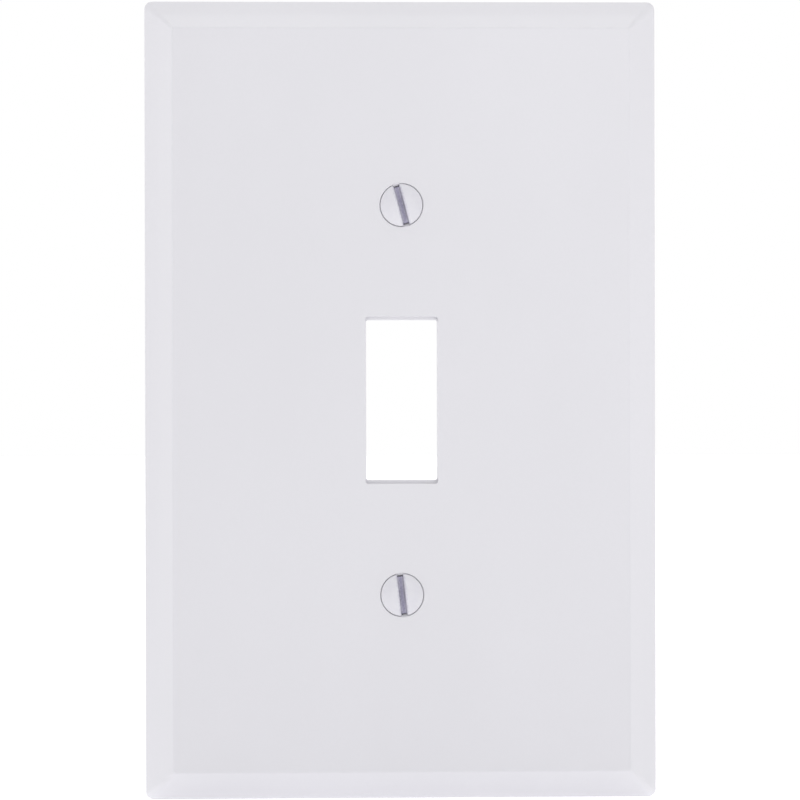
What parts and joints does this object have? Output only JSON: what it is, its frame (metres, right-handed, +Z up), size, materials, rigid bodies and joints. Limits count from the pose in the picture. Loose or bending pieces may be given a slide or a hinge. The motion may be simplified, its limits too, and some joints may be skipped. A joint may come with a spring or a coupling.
{
  "type": "toggle switch wall plate",
  "caption": "Bevelled white cover plate for a toggle light switch, with a rectangular opening for the toggle, a hollow back and captive slotted oval-head screws.",
  "frame": {"origin": "on the wall plane (the plane of the rear rim), midway between the two screws", "axes": "+X to the right and +Z up as seen by someone facing the plate, +Y into the wall, so the front faces -Y"},
  "size_m": [0.0794, 0.0136, 0.1238],
  "materials": {
    "moulded_white": "smooth semi-gloss thermoset moulding, cool white",
    "painted_screw": "white baked paint on the head, zinc-plated steel on the shank",
    "washer_fibre": "dull vulcanised fibre, red-brown"
  },
  "bodies": {
    "plate": {"faceplate": "moulded_white"},
    "upper_washer": {"upper_retaining_washer": "washer_fibre"},
    "upper_screw": {"upper_screw": "painted_screw"},
    "lower_washer": {"lower_retaining_washer": "washer_fibre"},
    "lower_screw": {"lower_screw": "painted_screw"}
  },
  "joints": [
    {"name": "upper_screw_slide", "type": "slide", "parent": "plate", "child": "upper_washer", "axis": [0, -1, 0], "range_m": [0, 0.0015]},
    {"name": "upper_screw_turn", "type": "hinge", "parent": "upper_washer", "child": "upper_screw", "pos_m": [0, 0, 0.03016], "axis": [0, -1, 0], "continuous": true},
    {"name": "lower_screw_slide", "type": "slide", "parent": "plate", "child": "lower_washer", "axis": [0, -1, 0], "range_m": [0, 0.0015]},
    {"name": "lower_screw_turn", "type": "hinge", "parent": "lower_washer", "child": "lower_screw", "pos_m": [0, 0, -0.03016], "axis": [0, -1, 0], "continuous": true}
  ]
}
